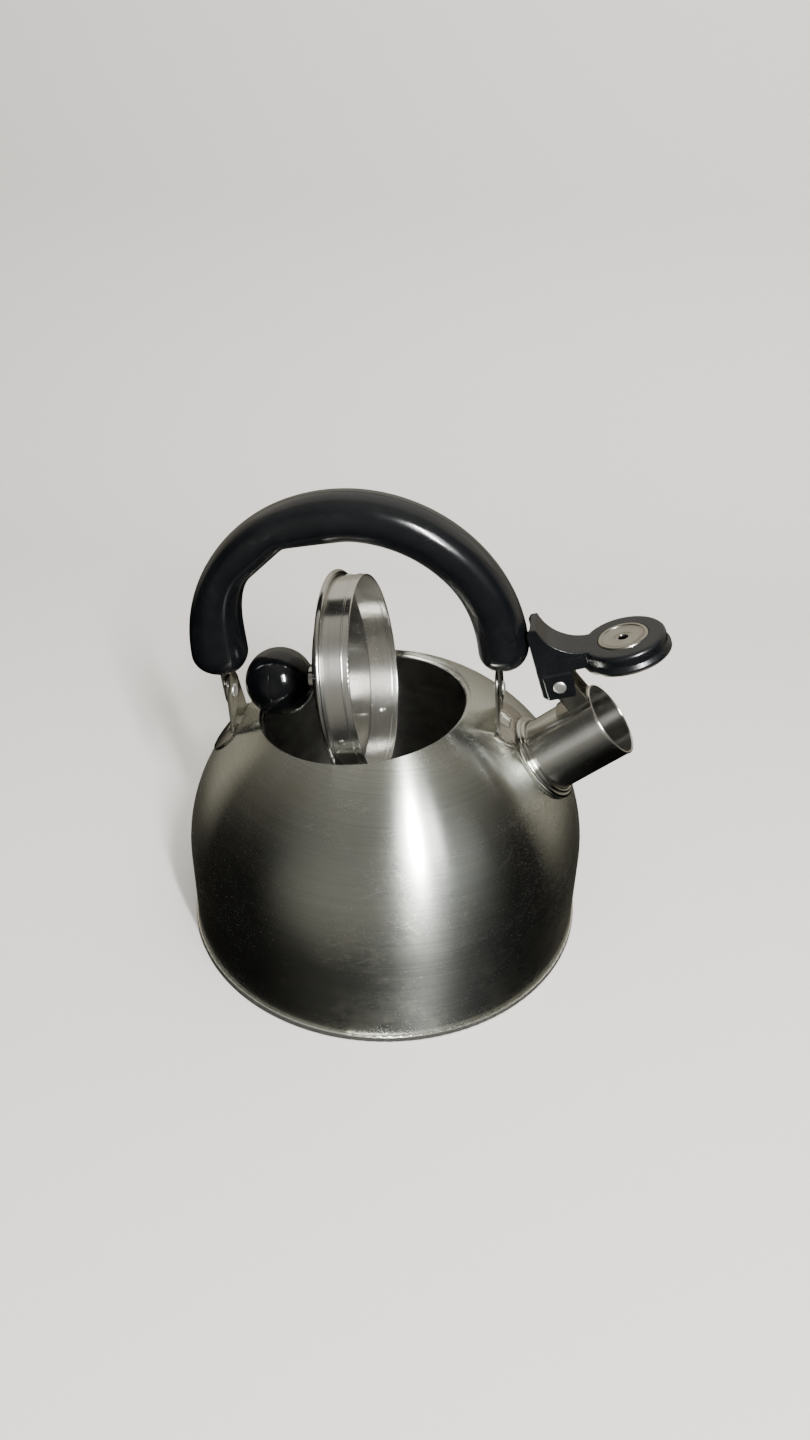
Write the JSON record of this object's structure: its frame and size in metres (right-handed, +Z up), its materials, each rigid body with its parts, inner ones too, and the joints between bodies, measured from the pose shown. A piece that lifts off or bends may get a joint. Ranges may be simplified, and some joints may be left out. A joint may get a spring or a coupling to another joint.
{
  "type": "stovetop whistling kettle",
  "caption": "Domed steel stovetop kettle with an arch handle, a lever-worked whistle cap on its spout and a ball-knob lid stood on edge in the filling opening.",
  "frame": {"origin": "centre of the base on the surface it stands on", "axes": "+Z up, +X towards the spout, handle arch in the XZ plane"},
  "size_m": [0.2257, 0.1996, 0.2265],
  "materials": {
    "brushed_steel": "circumferentially brushed, lightly scratched",
    "satin_steel": "satin, turned",
    "bright_steel": "bright rolled",
    "black_bakelite": "satin gloss moulding"
  },
  "bodies": {
    "kettle": {"body_shell": "brushed_steel", "base_plate": "bright_steel", "spout_tube": "bright_steel", "spout_collar": "bright_steel", "front_bracket": "bright_steel", "rear_bracket": "bright_steel", "front_pivot_rivet": "bright_steel", "rear_pivot_rivet": "bright_steel", "whistle_bracket": "bright_steel", "lever_rivet": "bright_steel"},
    "handle": {"handle_grip": "black_bakelite", "front_tang": "bright_steel", "rear_tang": "bright_steel"},
    "whistle": {"whistle_lever": "black_bakelite", "whistle_disc": "bright_steel", "whistle_plate": "bright_steel"},
    "lid": {"lid_cover": "satin_steel", "lid_sleeve": "satin_steel", "lid_knob": "black_bakelite", "knob_ferrule": "bright_steel", "knob_screw": "bright_steel"}
  },
  "joints": [
    {"name": "handle_swing", "type": "hinge", "parent": "kettle", "child": "handle", "pos_m": [-0.01182, 0, 0.12828], "axis": [0.9925, 0, 0.1219], "range_deg": [-80, 80]},
    {"name": "whistle_swing", "type": "hinge", "parent": "kettle", "child": "whistle", "pos_m": [0.07953, 0, 0.14492], "axis": [0, 1, 0], "range_deg": [0, 67.5]},
    {"name": "lid_lift", "type": "slide", "parent": "kettle", "child": "lid", "axis": [0.309, 0, 0.9511], "range_m": [0, 0.018]}
  ]
}
